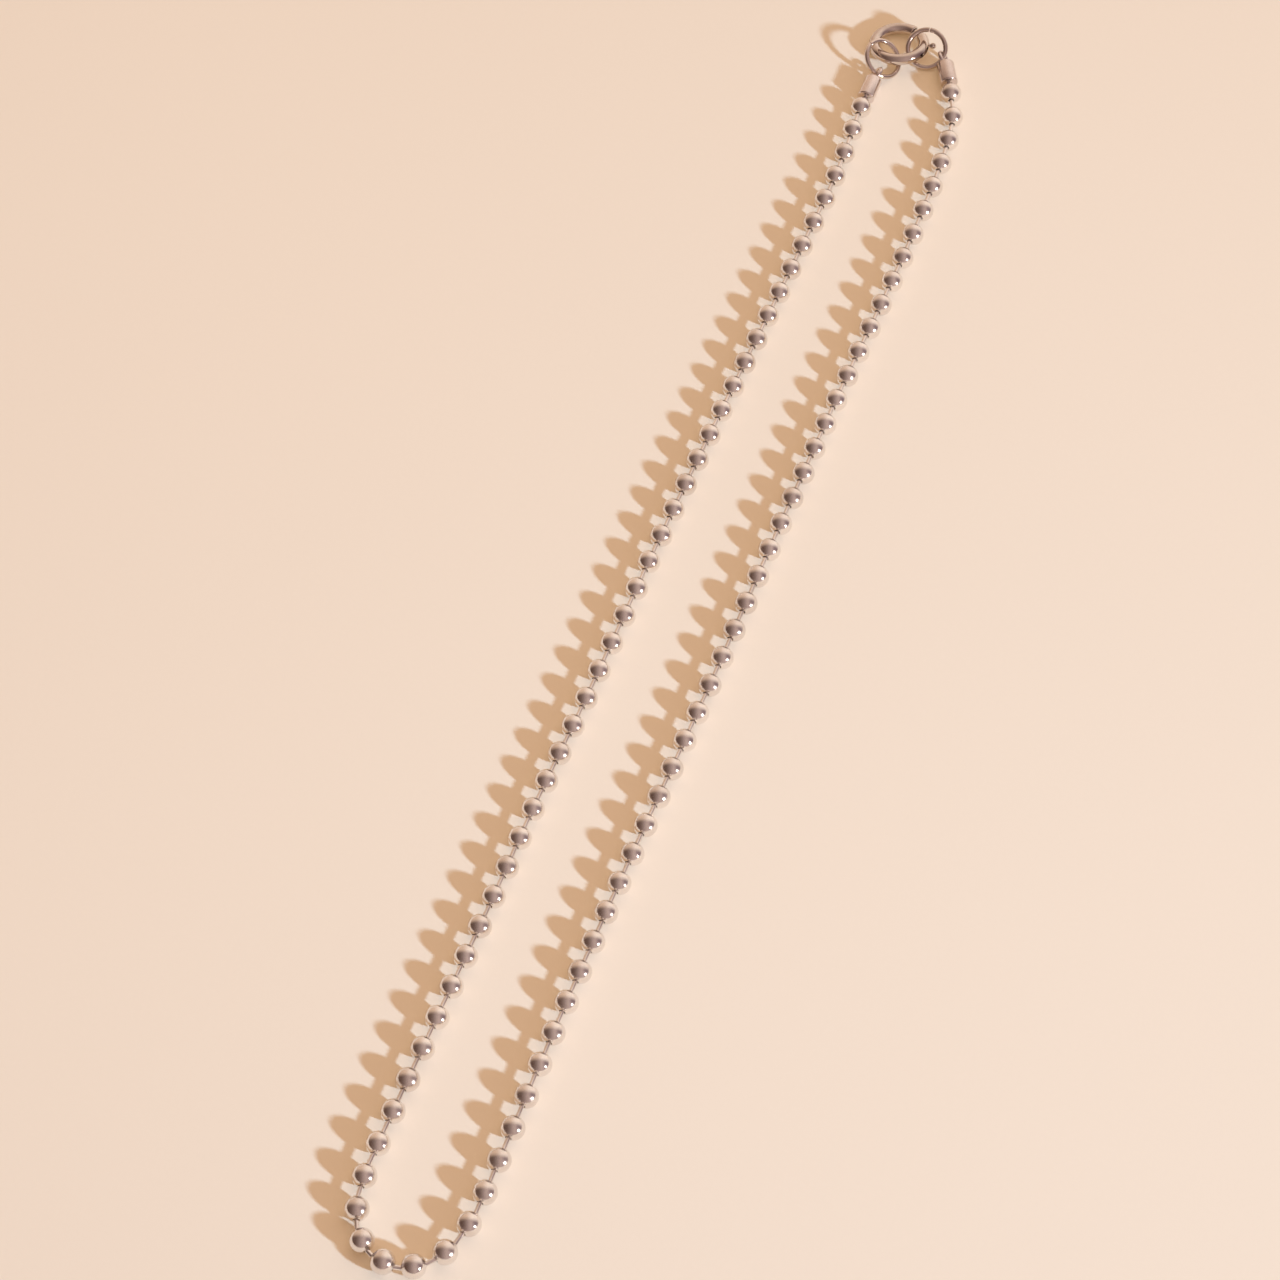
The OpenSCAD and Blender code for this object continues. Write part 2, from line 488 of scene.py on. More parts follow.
def framed(centre: Vector, across: Vector, axis: Vector) -> Matrix:
    """The place of a shape that was made on +Z, with its +X turned a given way too.

    Args:
        centre: where its origin goes.
        across: the direction that its +X comes nearest to.
        axis: where its +Z goes.

    Returns:
        The matrix that places it.
    """
    up = axis.normalized()
    side = (across - across.dot(up) * up).normalized()
    turn = Matrix((side, up.cross(side), up)).transposed().to_4x4()
    return Matrix.Translation(centre) @ turn


def arc(centre: tuple[float, float], radius: float, start: float, end: float, steps: int) -> Outline:
    """Points on an arc of an outline in the plane of distance from the axis and height.

    Args:
        centre: the arc's centre.
        radius: its radius.
        start: the angle that it starts at, in radians from the outward direction.
        end: the angle that it ends at.
        steps: how many pieces it is cut into.

    Returns:
        The points, both ends included.
    """
    angles = [start + (end - start) * k / steps for k in range(steps + 1)]
    return [(centre[0] + radius * math.cos(a), centre[1] + radius * math.sin(a)) for a in angles]


def lathe(outline: Outline, steps: int, closed: bool) -> Shape:
    """Turns an outline round Z.

    Args:
        outline: points of distance from the axis and height.
        steps: how many sides the turned shape gets.
        closed: whether the last point joins the first.

    Returns:
        The turned shape, with its faces outwards.
    """
    bm = bmesh.new()
    verts = [bm.verts.new((r, 0.0, z)) for r, z in outline]
    pairs = list(zip(verts, verts[1:])) + ([(verts[-1], verts[0])] if closed else [])
    edges = [bm.edges.new(pair) for pair in pairs]
    bent(bm, verts + edges, FULL_TURN, steps)
    return mended(bm)


def bent(bm: Shape, section: Geometry, sweep: float, steps: int) -> Geometry:
    """Sweeps a section round Z; a full turn closes on itself.

    Args:
        bm: the shape that the section is in.
        section: its vertices and edges.
        sweep: the angle that it goes round, in radians.
        steps: how many pieces the sweep is cut into.

    Returns:
        The vertices and edges at the far end.
    """
    made = bmesh.ops.spin(bm, geom=section, cent=(0, 0, 0), axis=(0, 0, 1), angle=sweep, steps=steps,
                          use_merge=sweep == FULL_TURN)
    return made["geom_last"]


def wire_section(bm: Shape, radius: float, wire: float, start: float, sides: int) -> Geometry:
    """Draws the round section of a wire where its bend round Z starts.

    Args:
        bm: the shape that gets it.
        radius: from the axis to the middle of the wire.
        wire: the wire's diameter.
        start: the angle that the bend starts at, in radians.
        sides: how many sides the wire has.

    Returns:
        The section's vertices and edges.
    """
    place = (Matrix.Rotation(start, 4, "Z") @ Matrix.Translation((radius, 0, 0))
             @ Matrix.Rotation(math.pi / 2, 4, "X"))
    made = bmesh.ops.create_circle(bm, cap_ends=False, segments=sides, radius=wire / 2, matrix=place)
    verts = made["verts"]
    return verts + list(dict.fromkeys(edge for vert in verts for edge in vert.link_edges))


def mended(bm: Shape) -> Shape:
    """Merges doubled vertices and turns the faces outwards.

    Args:
        bm: the shape.

    Returns:
        The same shape.
    """
    bmesh.ops.remove_doubles(bm, verts=bm.verts, dist=SAME_SPOT)
    bmesh.ops.recalc_face_normals(bm, faces=bm.faces)
    return bm


def moved(bm: Shape, place: Matrix) -> Shape:
    """Moves a whole shape to its place and returns it."""
    bmesh.ops.transform(bm, matrix=place, verts=bm.verts)
    return bm


def rounded(bm: Shape, edges: list[Edge], radius: float) -> None:
    """Rounds edges of a shape."""
    bmesh.ops.bevel(bm, geom=edges, offset=radius, offset_type="OFFSET", segments=ROUND_STEPS, profile=0.5,
                    affect="EDGES", material=-1)


def rims_of(bm: Shape) -> list[Edge]:
    """The edges that only one face meets, round the openings of a shape."""
    return [edge for edge in bm.edges if edge.is_boundary]


def as_mesh(bm: Shape, name: str) -> bpy.types.Mesh:
    """Writes a shape to a mesh and frees it.

    Args:
        bm: the shape.
        name: the mesh's name.

    Returns:
        The mesh.
    """
    mesh = bpy.data.meshes.new(name)
    bm.to_mesh(mesh)
    bm.free()
    return mesh


def placed(name: str, data: bpy.types.ID) -> bpy.types.Object:
    """Makes an object of a mesh, light or camera and puts it in the scene.

    Args:
        name: the object's name.
        data: what it shows.

    Returns:
        The object.
    """
    made = bpy.data.objects.new(name, data)
    bpy.context.scene.collection.objects.link(made)
    return made


def joined(parts: list[tuple[Shape, Matrix]]) -> Shape:
    """Puts copies of shapes at their places, as one shape.

    Args:
        parts: each shape and its place; the shapes are kept, and one may come many times.

    Returns:
        The joined shape.
    """
    whole = bmesh.new()
    for bm, place in parts:
        mesh = bpy.data.meshes.new("part")
        bm.to_mesh(mesh)
        mesh.transform(place)
        whole.from_mesh(mesh)
        bpy.data.meshes.remove(mesh)
    return whole


def piece(name: str, bm: Shape, finish: SteelFinish, body: str, nodes: list[str]) -> None:
    """Makes a shown piece from a shape.

    Args:
        name: the piece's name.
        bm: the shape, in place and in metres; it is freed.
        finish: what it is made of.
        body: the CAD body that it rides on.
        nodes: the CAD nodes that it stands for.
    """
    for face in bm.faces:
        face.smooth = True
    mesh = as_mesh(bm, name)
    mesh.set_sharp_from_angle(angle=CREASE)
    mesh.materials.append(finish.material())
    made = placed(name, mesh)
    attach(made, body)
    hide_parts(*nodes)
    LOG.info("%s: %d faces, on %s", name, len(mesh.polygons), body)


def fused(first: Shape, second: Shape) -> Shape:
    """Unites two closed shapes into one.

    Args:
        first: one shape; it is freed.
        second: the other; it is freed too.

    Returns:
        The united shape.
    """
    objects = [placed("fuse", as_mesh(bm, "fuse")) for bm in (first, second)]
    union = objects[0].modifiers.new("union", "BOOLEAN")
    union.operation = "UNION"
    union.solver = "EXACT"
    union.object = objects[1]
    bpy.context.view_layer.update()
    held = objects[0].evaluated_get(bpy.context.evaluated_depsgraph_get())
    bm = bmesh.new()
    bm.from_mesh(held.to_mesh())
    held.to_mesh_clear()
    for thing in objects:
        mesh = thing.data
        bpy.data.objects.remove(thing)
        bpy.data.meshes.remove(mesh)
    return mended(bm)


def wire_ring(radius: float, wire: float, start: float, sweep: float, steps: int, sides: int,
              edge: float) -> Shape:
    """A round wire or rod bent round Z, with its two ends closed and their edges rounded.

    Args:
        radius: from the axis to the middle of the wire.
        wire: the wire's diameter.
        start: the angle that it starts at, in radians.
        sweep: the angle that it goes round.
        steps: how many pieces the sweep is cut into.
        sides: how many sides the wire has.
        edge: the rounding of its ends.

    Returns:
        The closed shape.
    """
    bm = bmesh.new()
    bent(bm, wire_section(bm, radius, wire, start, sides), sweep, steps)
    ends = bmesh.ops.holes_fill(bm, edges=rims_of(bm), sides=0)["faces"]
    mended(bm)
    rounded(bm, list(dict.fromkeys(edge for face in ends for edge in face.edges)), edge)
    return mended(bm)


@dataclass
class BallChain:
    """The balls and the links that they hang on.

    Args:
        ball_d: outside diameter of a ball.
        wall: thickness of its rolled shell.
        hole_d: diameter of its two holes.
        rim: rounding of a hole's edge, inside and outside.
        neck_d: diameter of a link's neck.
        head_d: diameter of a link's round heads.
        root: rounding between a head and the neck.
        ball_sides: how many sides a ball has round its thread.
        skin_steps: how many steps its outside has from hole to hole.
        rim_steps: how many steps the edge of a hole has.
        lining_steps: how many steps its inside has from hole to hole.
        link_sides: how many sides a link has.
        head_steps: how many steps a link's head has from its tip to the neck.
        root_steps: how many steps the rounding beside the neck has.
        seed: what the balls' and links' own turns follow.
        balls: the measured balls, in their order along the chain.
        links: the measured links.
    """

    ball_d: float = 3.0 * MM
    wall: float = 0.24 * MM
    hole_d: float = 0.79 * MM
    rim: float = 0.07 * MM
    neck_d: float = 0.60 * MM
    head_d: float = 0.90 * MM
    root: float = 0.08 * MM
    ball_sides: int = 28
    skin_steps: int = 16
    rim_steps: int = 4
    lining_steps: int = 8
    link_sides: int = 14
    head_steps: int = 6
    root_steps: int = 2
    seed: int = 7
    balls: list[Cloud] = field(default_factory=list)
    links: list[Cloud] = field(default_factory=list)

    def measure(self, start: Vector) -> None:
        """Reads the balls and links from the frame and sorts the balls along the chain.

        Args:
            start: a point near the end that the run begins at.
        """
        waiting = loose_parts("balls")
        here = start
        while waiting:
            nearest = min(waiting, key=lambda part: (part.middle - here).length)
            waiting.remove(nearest)
            self.balls.append(nearest)
            here = nearest.middle
        self.links = loose_parts("links")

    def ball_shape(self) -> Shape:
        """One hollow ball with a rolled rim round each of its two holes.

        Returns:
            The ball, with its thread along Z.
        """
        outer = self.ball_d / 2
        inner = outer - self.wall
        hole = self.hole_d / 2
        tilt = math.acos((hole + self.rim) / (outer - self.rim))
        top = (outer - self.rim) * math.sin(tilt)
        skin = arc((0, 0), outer, -tilt, tilt, self.skin_steps)
        over = arc((hole + self.rim, top), self.rim, tilt, math.pi, self.rim_steps)[1:]
        inmost = math.acos(hole / inner)
        lining = arc((0, 0), inner, inmost, -inmost, self.lining_steps)
        under = [(r, -z) for r, z in reversed(over)]
        return lathe(skin + over + lining + under, self.ball_sides, True)

    def link_shape(self, length: float) -> Shape:
        """One link, a neck with a round head at each end.

        Args:
            length: from the middle of one head to the middle of the other.

        Returns:
            The link, centred on its middle and standing on Z.
        """
        head = self.head_d / 2
        neck = self.neck_d / 2
        meet = math.acos((neck + self.root) / (head + self.root))
        rise = (head + self.root) * math.sin(meet)
        half = length / 2
        tip = arc((0, -half), head, -math.pi / 2, meet, self.head_steps)
        root = arc((neck + self.root, rise - half), self.root, math.pi + meet, math.pi, self.root_steps)
        lower = [(max(r, 0.0), z) for r, z in tip + root[1:]]
        upper = [(r, -z) for r, z in reversed(lower)]
        return lathe(lower + upper, self.link_sides, False)

    def build(self, ends: tuple[Vector, Vector]) -> None:
        """Makes the balls and the links as two pieces.

        Args:
            ends: the mouths of the caps before the first and after the last ball.
        """
        turns = random.Random(self.seed)
        route = [ends[0]] + [ball.middle for ball in self.balls] + [ends[1]]
        ball = self.ball_shape()
        balls = [(ball, facing(here, after - before, turns.uniform(0, FULL_TURN)))
                 for before, here, after in zip(route, route[1:], route[2:])]
        piece("ball_run", joined(balls), BALL_STEEL, NECKLACE, ["balls"])
        ball.free()
        links = []
        for link in self.links:
            low, high = link.reach(link.longest)
            place = facing(link.middle, link.longest, turns.uniform(0, FULL_TURN))
            links.append((self.link_shape(high - low - self.head_d), place))
        piece("link_run", joined(links), LINK_STEEL, NECKLACE, ["links"])
        for shape, _ in links:
            shape.free()


@dataclass
class EndCap:
    """A barrel that holds the last link, with a loop soldered on its floor.

    Args:
        node: the CAD node that it stands for.
        width: diameter of the barrel.
        length: length of the barrel.
        wall: wall of the barrel.
        floor: thickness of the floor under the loop.
        lip: thickness of the lip that holds the link.
        edge: rounding of the barrel's outer edges.
        hole_d: diameter of the hole in the lip.
        loop_wire: wire diameter of the loop.
        loop_r: from the middle of the loop to the middle of its wire.
        sides: how many sides the barrel has.
        edge_steps: how many steps its rounded edges have.
        loop_steps: how many pieces the loop is cut into.
        loop_sides: how many sides the loop's wire has.
        mouth: the measured middle of the mouth.
        axis: the measured direction from the mouth to the loop.
        loop_normal: the measured direction through the loop.
    """

    node: str
    width: float = 2.5 * MM
    length: float = 3.7 * MM
    wall: float = 0.35 * MM
    floor: float = 0.6 * MM
    lip: float = 0.3 * MM
    edge: float = 0.2 * MM
    hole_d: float = 0.82 * MM
    loop_wire: float = 0.56 * MM
    loop_r: float = 1.05 * MM
    sides: int = 40
    edge_steps: int = 4
    loop_steps: int = 44
    loop_sides: int = 16
    mouth: Vector = field(default_factory=Vector)
    axis: Vector = field(default_factory=Vector)
    loop_normal: Vector = field(default_factory=Vector)

    def measure(self, clasp: Vector) -> None:
        """Reads the cap's mouth, axis and loop from the frame.

        Args:
            clasp: the middle of the clasp, which the loop points towards.
        """
        cloud = loose_parts(self.node)[0]
        middle = cloud.middle
        self.axis = cloud.longest if (clasp - middle).dot(cloud.longest) > 0 else -cloud.longest
        low, _ = cloud.reach(self.axis)
        self.mouth = middle + (low - middle.dot(self.axis)) * self.axis
        self.loop_normal = cloud.beyond(self.axis, low + self.length + self.loop_wire / 2).shortest

    def build(self) -> None:
        """Makes the barrel and its loop as one piece."""
        cap = fused(self.barrel(), self.loop())
        moved(cap, framed(self.mouth, self.loop_normal, self.axis))
        piece(self.node.replace("end_cap", "cap"), cap, CAP_STEEL, NECKLACE, [self.node])

    def loop(self) -> Shape:
        """The closed ring of wire on the barrel.

        Returns:
            The ring, above the barrel's floor.
        """
        bm = bmesh.new()
        section = wire_section(bm, self.loop_r, self.loop_wire, 0.0, self.loop_sides)
        bent(bm, section, FULL_TURN, self.loop_steps)
        stand = Matrix.Translation((0, 0, self.length + self.loop_r)) @ Matrix.Rotation(math.pi / 2, 4, "Y")
        return moved(mended(bm), stand)

    def barrel(self) -> Shape:
        """The barrel, whose inside meets its outside at the mouth.

        Returns:
            The barrel, standing on its mouth.
        """
        bore = self.width / 2 - self.wall
        hole = self.hole_d / 2
        ceiling = self.length - self.floor
        corner = self.width / 2 - self.edge
        outside = (arc((corner, self.edge), self.edge, -math.pi / 2, 0, self.edge_steps)
                   + arc((corner, self.length - self.edge), self.edge, 0, math.pi / 2, self.edge_steps)
                   + [(0.0, self.length)])
        inside = [(0.0, ceiling), (bore, ceiling), (bore, self.lip), (hole, self.lip), (hole, 0.0)]
        walls = [lathe(outline, self.sides, False) for outline in (outside, inside)]
        barrel = joined([(wall, Matrix()) for wall in walls])
        for wall in walls:
            wall.free()
        bmesh.ops.bridge_loops(barrel, edges=rims_of(barrel))
        return mended(barrel)


@dataclass
class JumpRing:
    """A ring of round wire, closed with a fine cut on its raised side.

    Args:
        node: the CAD node that it stands for.
        wire: the wire's diameter.
        cut: width of the cut.
        edge: rounding of the wire's two ends.
        steps: how many pieces the ring is cut into.
        sides: how many sides the wire has.
    """

    node: str
    wire: float = 0.7 * MM
    cut: float = 0.08 * MM
    edge: float = 0.03 * MM
    steps: int = 72
    sides: int = 20

    def build(self) -> None:
        """Makes the ring where the frame has it."""
        cloud = loose_parts(self.node)[0]
        normal = cloud.shortest if cloud.shortest.z > 0 else -cloud.shortest
        low, high = cloud.reach(normal.orthogonal().normalized())
        radius = (high - low - self.wire) / 2
        gap = self.cut / radius
        ring = wire_ring(radius, self.wire, gap / 2, FULL_TURN - gap, self.steps, self.sides, self.edge)
        moved(ring, framed(cloud.middle, UP, normal))
        piece(self.node + "_wire", ring, SHADED_WIRE_STEEL, NECKLACE, [self.node])


@dataclass
class SpringRing:
    """The clasp: a bent tube with a gate, a slot for the knob, and the bolt that shuts it.

    Angles are in radians and run round the clasp from its raised side.

    Args:
        outside: outside diameter of the clasp.
        tube: outside diameter of its tube.
        wall: wall of the tube.
        bolt_d: diameter of the bolt.
        gate: width of the gate, along the middle of the tube.
        gate_at: the angle of the gate's middle.
        knob_at: the angle of the knob while the gate is shut.
        reach: how far the bolt goes into the tube beyond the gate.
        bolt_tail: the angle from the knob to the bolt's hidden end.
        travel: the angle that the knob can be drawn back.
        stem_d: diameter of the knob's stem.
        stem_play: play of the stem in its slot, at each side.
        knob_d: diameter of the knob.
        edge: rounding of the tube's ends.
        bolt_edge: rounding of the bolt's ends.
        sharp: the angle from which an edge of the tube's ends is rounded.
        mouth: how far the edges of a mouth lie from its middle at most, as a share of the tube.
        tube_sides: how many sides the tube has.
        tube_steps: how many pieces it is cut into before, along and after the slot.
        bolt_sides: how many sides the bolt has.
        bolt_steps: how many pieces it is cut into.
        knob_sides: how many sides the knob has.
        knob_steps: how many steps the knob has from its stem to its tip.
        least_turn: the least angle that an edge along the sweep goes round.
        place: the measured place of the clasp.
    """

    outside: float = 8.7 * MM
    tube: float = 1.6 * MM
    wall: float = 0.25 * MM
    bolt_d: float = 0.9 * MM
    gate: float = 1.6 * MM
    gate_at: float = math.radians(100)
    knob_at: float = math.radians(56)
    reach: float = 0.3 * MM
    bolt_tail: float = math.radians(22)
    travel: float = math.radians(32.7)
    stem_d: float = 0.5 * MM
    stem_play: float = 0.1 * MM
    knob_d: float = 0.9 * MM
    edge: float = 0.12 * MM
    bolt_edge: float = 0.16 * MM
    sharp: float = math.radians(60)
    mouth: float = 0.6
    tube_sides: int = 28
    tube_steps: tuple[int, int, int] = (58, 10, 6)
    bolt_sides: int = 20
    bolt_steps: int = 26
    knob_sides: int = 24
    knob_steps: int = 12
    least_turn: float = 0.01
    place: Matrix = field(default_factory=Matrix)

    def measure(self) -> None:
        """Reads the middle and the lean of the clasp from the bolt's joint."""
        joint = frame["joints"][0]
        axis = Vector(joint["axis"])
        self.place = framed(Vector(joint["pos_m"]), UP, axis if axis.dot(UP) > 0 else -axis)

    @property
    def middle(self) -> Vector:
        """The middle of the clasp."""
        return self.place.translation

    @property
    def radius(self) -> float:
        """From the clasp's middle to the middle of its tube."""
        return (self.outside - self.tube) / 2

    def tube_shape(self) -> Shape:
        """The tube with its gate open and its slot cut.

        Returns:
            The tube, with the clasp's axis along Z.
        """
        start = self.gate_at + self.gate / self.radius / 2
        side = (self.stem_d / 2 + self.stem_play) / (self.radius + self.bolt_d / 2)
        low = self.knob_at - self.travel - side + FULL_TURN
        high = self.knob_at + side + FULL_TURN
        end = start + FULL_TURN - self.gate / self.radius
        bm = bmesh.new()
        for across in (self.tube, self.tube - 2 * self.wall):
            tip = wire_section(bm, self.radius, across, start, self.tube_sides)
            for sweep, steps in zip((low - start, high - low, end - high), self.tube_steps):
                tip = bent(bm, tip, sweep, steps)
            # Each round turns all the faces over, so the two walls end up facing opposite ways.
            bmesh.ops.reverse_faces(bm, faces=list(bm.faces))
        for at in (start, end):
            middle = self.radius * Vector((math.cos(at), math.sin(at), 0))
            near = [edge for edge in rims_of(bm)
                    if (self.middle_of(edge) - middle).length < self.mouth * self.tube]
            bmesh.ops.bridge_loops(bm, edges=near)
        mended(bm)
        ends = [edge for edge in bm.edges if len(edge.link_faces) == 2
                and edge.calc_face_angle() > self.sharp and self.on_skin(edge)]
        rounded(bm, ends, self.edge)
        self.open_slot(bm, (low + high) / 2, (high - low) / 2)
        return mended(bm)

    @staticmethod
    def middle_of(edge: Edge) -> Vector:
        """The middle of an edge."""
        return (edge.verts[0].co + edge.verts[1].co) / 2

    def on_skin(self, edge: Edge) -> bool:
        """Whether an edge lies on the outside of the tube.

        Args:
            edge: the edge.

        Returns:
            True if it lies further out than the middle of the wall.
        """
        spot = self.middle_of(edge)
        heart = self.radius * Vector((spot.x, spot.y, 0)).normalized()
        return (spot - heart).length > (self.tube - self.wall) / 2

    def open_slot(self, bm: Shape, middle: float, half: float) -> None:
        """Opens the knob's slot in the outer side of the tube and closes its walls.

        Args:
            bm: the tube, whose sections stand at both ends of the slot.
            middle: the angle of the slot's middle.
            half: half of the angle that it covers.
        """
        tall = self.stem_d / 2 + self.stem_play
        gone = []
        for face in bm.faces:
            spot = face.calc_center_median()
            outside = Vector((spot.x, spot.y, 0)).length > self.radius
            if outside and abs(spot.z) < tall and self.bearing(spot, middle) < half:
                gone.append(face)
        bmesh.ops.delete(bm, geom=gone, context="FACES")
        for way in (1, -1):
            walls = [edge for edge in rims_of(bm) if self.along_sweep(edge)
                     and all(vert.co.z * way > tall / 2 for vert in edge.verts)]
            bmesh.ops.bridge_loops(bm, edges=walls)
        bmesh.ops.holes_fill(bm, edges=rims_of(bm), sides=0)

    def along_sweep(self, edge: Edge) -> bool:
        """Whether an edge runs round the ring, not round its tube."""
        first, second = (vert.co for vert in edge.verts)
        return self.bearing(first, math.atan2(second.y, second.x)) > self.least_turn

    @staticmethod
    def bearing(spot: Vector, middle: float) -> float:
        """How far a point lies round the ring from an angle, in radians."""
        away = math.atan2(spot.y, spot.x) - middle
        return abs((away + math.pi) % FULL_TURN - math.pi)

    def bolt_shape(self) -> Shape:
        """The bolt with its stem and knob.

        Returns:
            One shape, with the clasp's axis along Z.
        """
        tail = self.knob_at - self.bolt_tail
        sweep = self.gate_at + (self.gate / 2 + self.reach) / self.radius - tail
        rod = wire_ring(self.radius, self.bolt_d, tail, sweep, self.bolt_steps, self.bolt_sides,
                        self.bolt_edge)
        far = self.radius + self.tube / 2 + self.knob_d / 2 + self.stem_play
        ball_r = self.knob_d / 2
        stem_r = self.stem_d / 2
        stem = [(0.0, self.radius), (stem_r, self.radius)]
        ball = arc((0, far), ball_r, -math.acos(stem_r / ball_r), math.pi / 2, self.knob_steps)
        knob = lathe(stem + ball[:-1] + [(0.0, far + ball_r)], self.knob_sides, False)
        turn = Matrix.Rotation(self.knob_at, 4, "Z") @ Matrix.Rotation(math.pi / 2, 4, "Y")
        return fused(rod, moved(knob, turn))

    def build(self) -> None:
        """Makes the tube and the bolt."""
        tube = moved(self.tube_shape(), self.place)
        piece("clasp_tube", tube, SHADED_CLASP_STEEL, NECKLACE, ["spring_ring"])
        bolt = moved(self.bolt_shape(), self.place)
        piece("clasp_bolt", bolt, SHADED_CLASP_STEEL, BOLT, ["bolt"])


@dataclass(frozen=True)
class Glow:
    """A smooth change of the room's light from one colour to another.

    Args:
        span: where the change starts and ends, as a coordinate of the direction looked in.
        first: linear colour before it.
        second: linear colour after it.
    """

    span: tuple[float, float]
    first: Colour
    second: Colour

    def over(self, nodes: NodeTree, coordinate: Socket) -> Socket:
        """The light's colour, along a coordinate of the direction."""
        return nodes.mix_colour(nodes.ramp(coordinate, self.span), self.first, self.second)


@dataclass
class Studio:
    """The table, the lights and the camera of the photograph.

    The lamp throws the shadows, and the glint is the same lamp as the metal mirrors it. Places are in the
    picture's axes: right, away and up from the aim.

    Args:
        turn: turn of the picture's axes about +Z, in radians.
        elevation: height of the camera over the table, as an angle.
        roll: turn of the camera about its view.
        distance: from the aim to the camera.
        aim: the point in the frame that the camera looks at.
        lens: focal length of the camera, in millimetres.
        sensor: width of its sensor, in millimetres.
        nearest: the nearest place that the camera sees.
        table: half of the table's width.
        lamp: place of the lamp.
        lamp_radius: radius of the lamp, which softens the shadows.
        lamp_tilt: how far above the aim it points, so that the light fades towards the camera.
        lamp_cone: width of its cone.
        lamp_watts: its power.
        lamp_colour: its linear colour.
        glint: place of the highlights' light.
        glint_radius: its radius.
        glint_watts: its power.
        glint_colour: its linear colour.
        fill: place of the soft light from above.
        fill_size: its width.
        fill_watts: its power.
        fill_colour: its linear colour.
        overhead: the room's light from left to right, over the camera.
        right_span: where it gives way to the wall at the right.
        right_colour: linear colour of the wall at the right.
        wall: the light of the wall behind the table, from left to right.
        wall_span: where the room gives way to that wall.
        wall_lean: how far that wall is turned from the picture's axes.
    """

    turn: float = math.radians(20.65)
    elevation: float = math.radians(57.19)
    roll: float = math.radians(0.85)
    distance: float = 434.6 * MM
    aim: Place = (-3.14 * MM, -10.237 * MM, 0.0)
    lens: float = 95.6
    sensor: float = 36.0
    nearest: float = 10 * MM
    table: float = 1600 * MM
    lamp: Place = (611 * MM, -483 * MM, 342 * MM)
    lamp_radius: float = 28 * MM
    lamp_tilt: float = math.radians(39)
    lamp_cone: float = math.radians(120)
    lamp_watts: float = 81.5
    lamp_colour: Colour = (0.478, 0.729, 1.0)
    glint: Place = (664 * MM, -474 * MM, 237 * MM)
    glint_radius: float = 24 * MM
    glint_watts: float = 19.0
    glint_colour: Colour = (1.0, 0.9, 0.85)
    fill: Place = (0.0, 300 * MM, 1000 * MM)
    fill_size: float = 1400 * MM
    fill_watts: float = 4.843
    fill_colour: Colour = (1.0, 0.812, 0.474)
    overhead: Glow = Glow((-1.08, 0.65), (0.12, 0.067, 0.05), (0.586, 0.429, 0.378))
    right_span: tuple[float, float] = (0.27, 0.95)
    right_colour: Colour = (0.236, 0.155, 0.161)
    wall: Glow = Glow((-0.51, 0.535), (0.743, 0.511, 0.368), (1.063, 0.872, 0.736))
    wall_span: tuple[float, float] = (0.0, 0.77)
    wall_lean: float = math.radians(5.4)

    def to_frame(self) -> Matrix:
        """From the picture's axes, right, away and up from the aim, to the frame's."""
        return Matrix.Translation(self.aim) @ Matrix.Rotation(self.turn, 4, "Z")

    def build_camera(self) -> None:
        """Puts the camera at the photograph's viewing angle."""
        data = bpy.data.cameras.new("camera")
        data.sensor_fit = "HORIZONTAL"
        data.sensor_width = self.sensor
        data.lens = self.lens
        data.clip_start = self.nearest
        camera = placed("camera", data)
        tilt = Matrix.Rotation(math.pi / 2 - self.elevation, 4, "X")
        place = tilt @ Matrix.Rotation(self.roll, 4, "Z") @ Matrix.Translation((0, 0, self.distance))
        camera.matrix_world = self.to_frame() @ place
        bpy.context.scene.camera = camera

    def build_table(self) -> None:
        """Lays the plain pale floor."""
        bm = bmesh.new()
        bmesh.ops.create_grid(bm, x_segments=4, y_segments=4, size=self.table)
        mesh = as_mesh(bm, "table")
        mesh.materials.append(TABLE_PAPER.material())
        table = placed("table", mesh)

    def add_light(self, name: str, kind: str, watts: float, colour: Colour, spot: Place,
                  rise: float = 0.0) -> bpy.types.Object:
        """Hangs a light that points at the aim, or above it.

        Args:
            name: the light's name.
            kind: Blender's kind of light.
            watts: its power.
            colour: its linear colour.
            spot: where it hangs, in the picture's axes.
            rise: how far above the aim it points, in radians.

        Returns:
            The light's object.
        """
        data = bpy.data.lights.new(name, kind)
        data.energy = watts
        data.color = colour
        light = placed(name, data)
        light.location = self.to_frame() @ Vector(spot)
        light.rotation_euler = (Vector(self.aim) - light.location).to_track_quat("-Z", "Y").to_euler()
        light.rotation_euler.x += rise
        return light

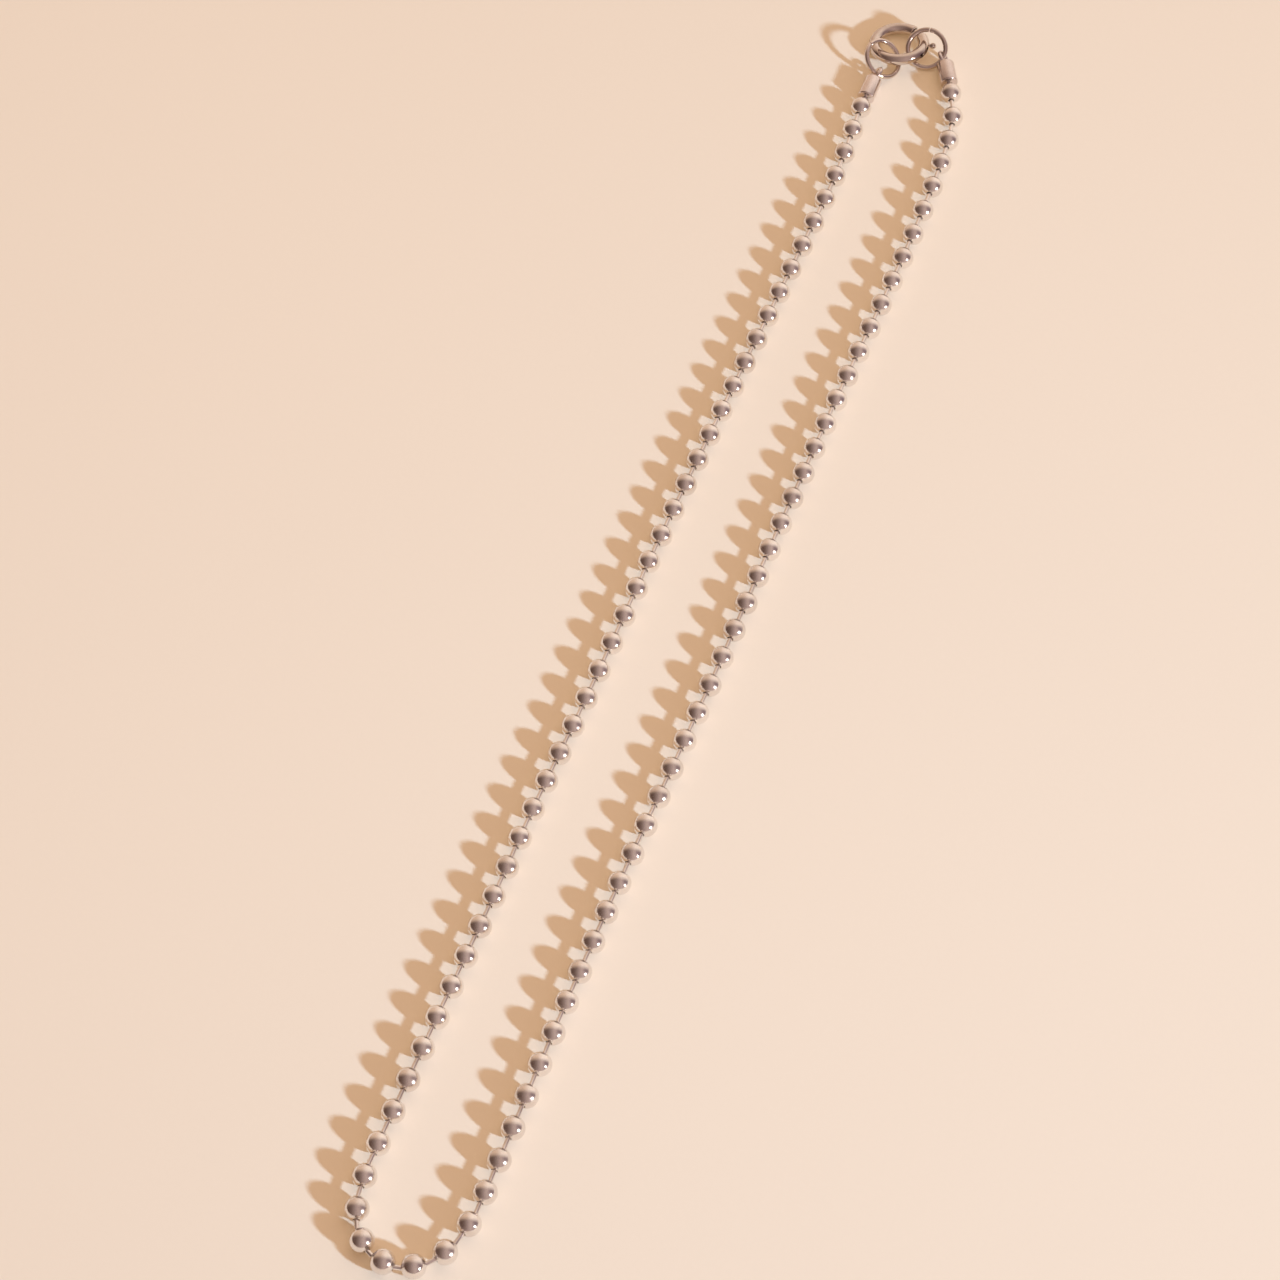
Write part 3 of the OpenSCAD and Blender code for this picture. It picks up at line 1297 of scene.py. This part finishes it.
    def build_lights(self) -> None:
        """Hangs the lamp, its glint in the metal and the soft fill, and paints the room."""
        lamp = self.add_light("lamp", "SPOT", self.lamp_watts, self.lamp_colour, self.lamp, self.lamp_tilt)
        lamp.data.spot_size = self.lamp_cone
        lamp.data.spot_blend = 1.0
        lamp.visible_glossy = False
        lamp.data.shadow_soft_size = self.lamp_radius
        glint = self.add_light("glint", "POINT", self.glint_watts, self.glint_colour, self.glint)
        glint.visible_diffuse = False
        glint.data.shadow_soft_size = self.glint_radius
        fill = self.add_light("fill", "AREA", self.fill_watts, self.fill_colour, self.fill)
        fill.data.shape = "DISK"
        fill.data.size = self.fill_size
        fill.data.use_shadow = False
        fill.visible_glossy = False
        self.build_room()

    def build_room(self) -> None:
        """Paints the room: a warm wall behind the table, dimmer overhead and darkest at the left."""
        world = bpy.data.worlds.new("room")
        world.use_nodes = True
        bpy.context.scene.world = world
        nodes = NodeTree(world.node_tree)
        way = nodes.add("ShaderNodeTexCoord").outputs["Generated"]
        across = nodes.part(nodes.mapped(way, (1, 1, 1), -self.turn), "X")
        away = nodes.part(nodes.mapped(way, (1, 1, 1), self.wall_lean - self.turn), "Y")
        overhead = self.overhead.over(nodes, across)
        dim = nodes.mix_colour(nodes.ramp(across, self.right_span), overhead, self.right_colour)
        wall = self.wall.over(nodes, across)
        room = nodes.mix_colour(nodes.ramp(away, self.wall_span), dim, wall)
        nodes.link(room, world.node_tree.nodes["Background"].inputs["Color"])

    def build(self) -> None:
        """Sets the camera first, then the table and the lights."""
        self.build_camera()
        self.build_table()
        self.build_lights()
        bpy.context.scene.view_settings.view_transform = "Standard"
        LOG.info("studio: camera %.0f mm away", self.distance / MM)


def main() -> None:
    """Builds the studio and then the necklace, from the clasp to the run of balls."""
    logging.basicConfig(level=logging.INFO, format="%(message)s")
    Studio().build()
    clasp = SpringRing()
    clasp.measure()
    clasp.build()
    for node in ("jump_ring_left", "jump_ring_right"):
        JumpRing(node).build()
    caps = [EndCap("end_cap_left"), EndCap("end_cap_right")]
    for cap in caps:
        cap.measure(clasp.middle)
        cap.build()
    chain = BallChain()
    chain.measure(caps[0].mouth)
    chain.build((caps[0].mouth, caps[1].mouth))


if __name__ == "__main__":
    main()
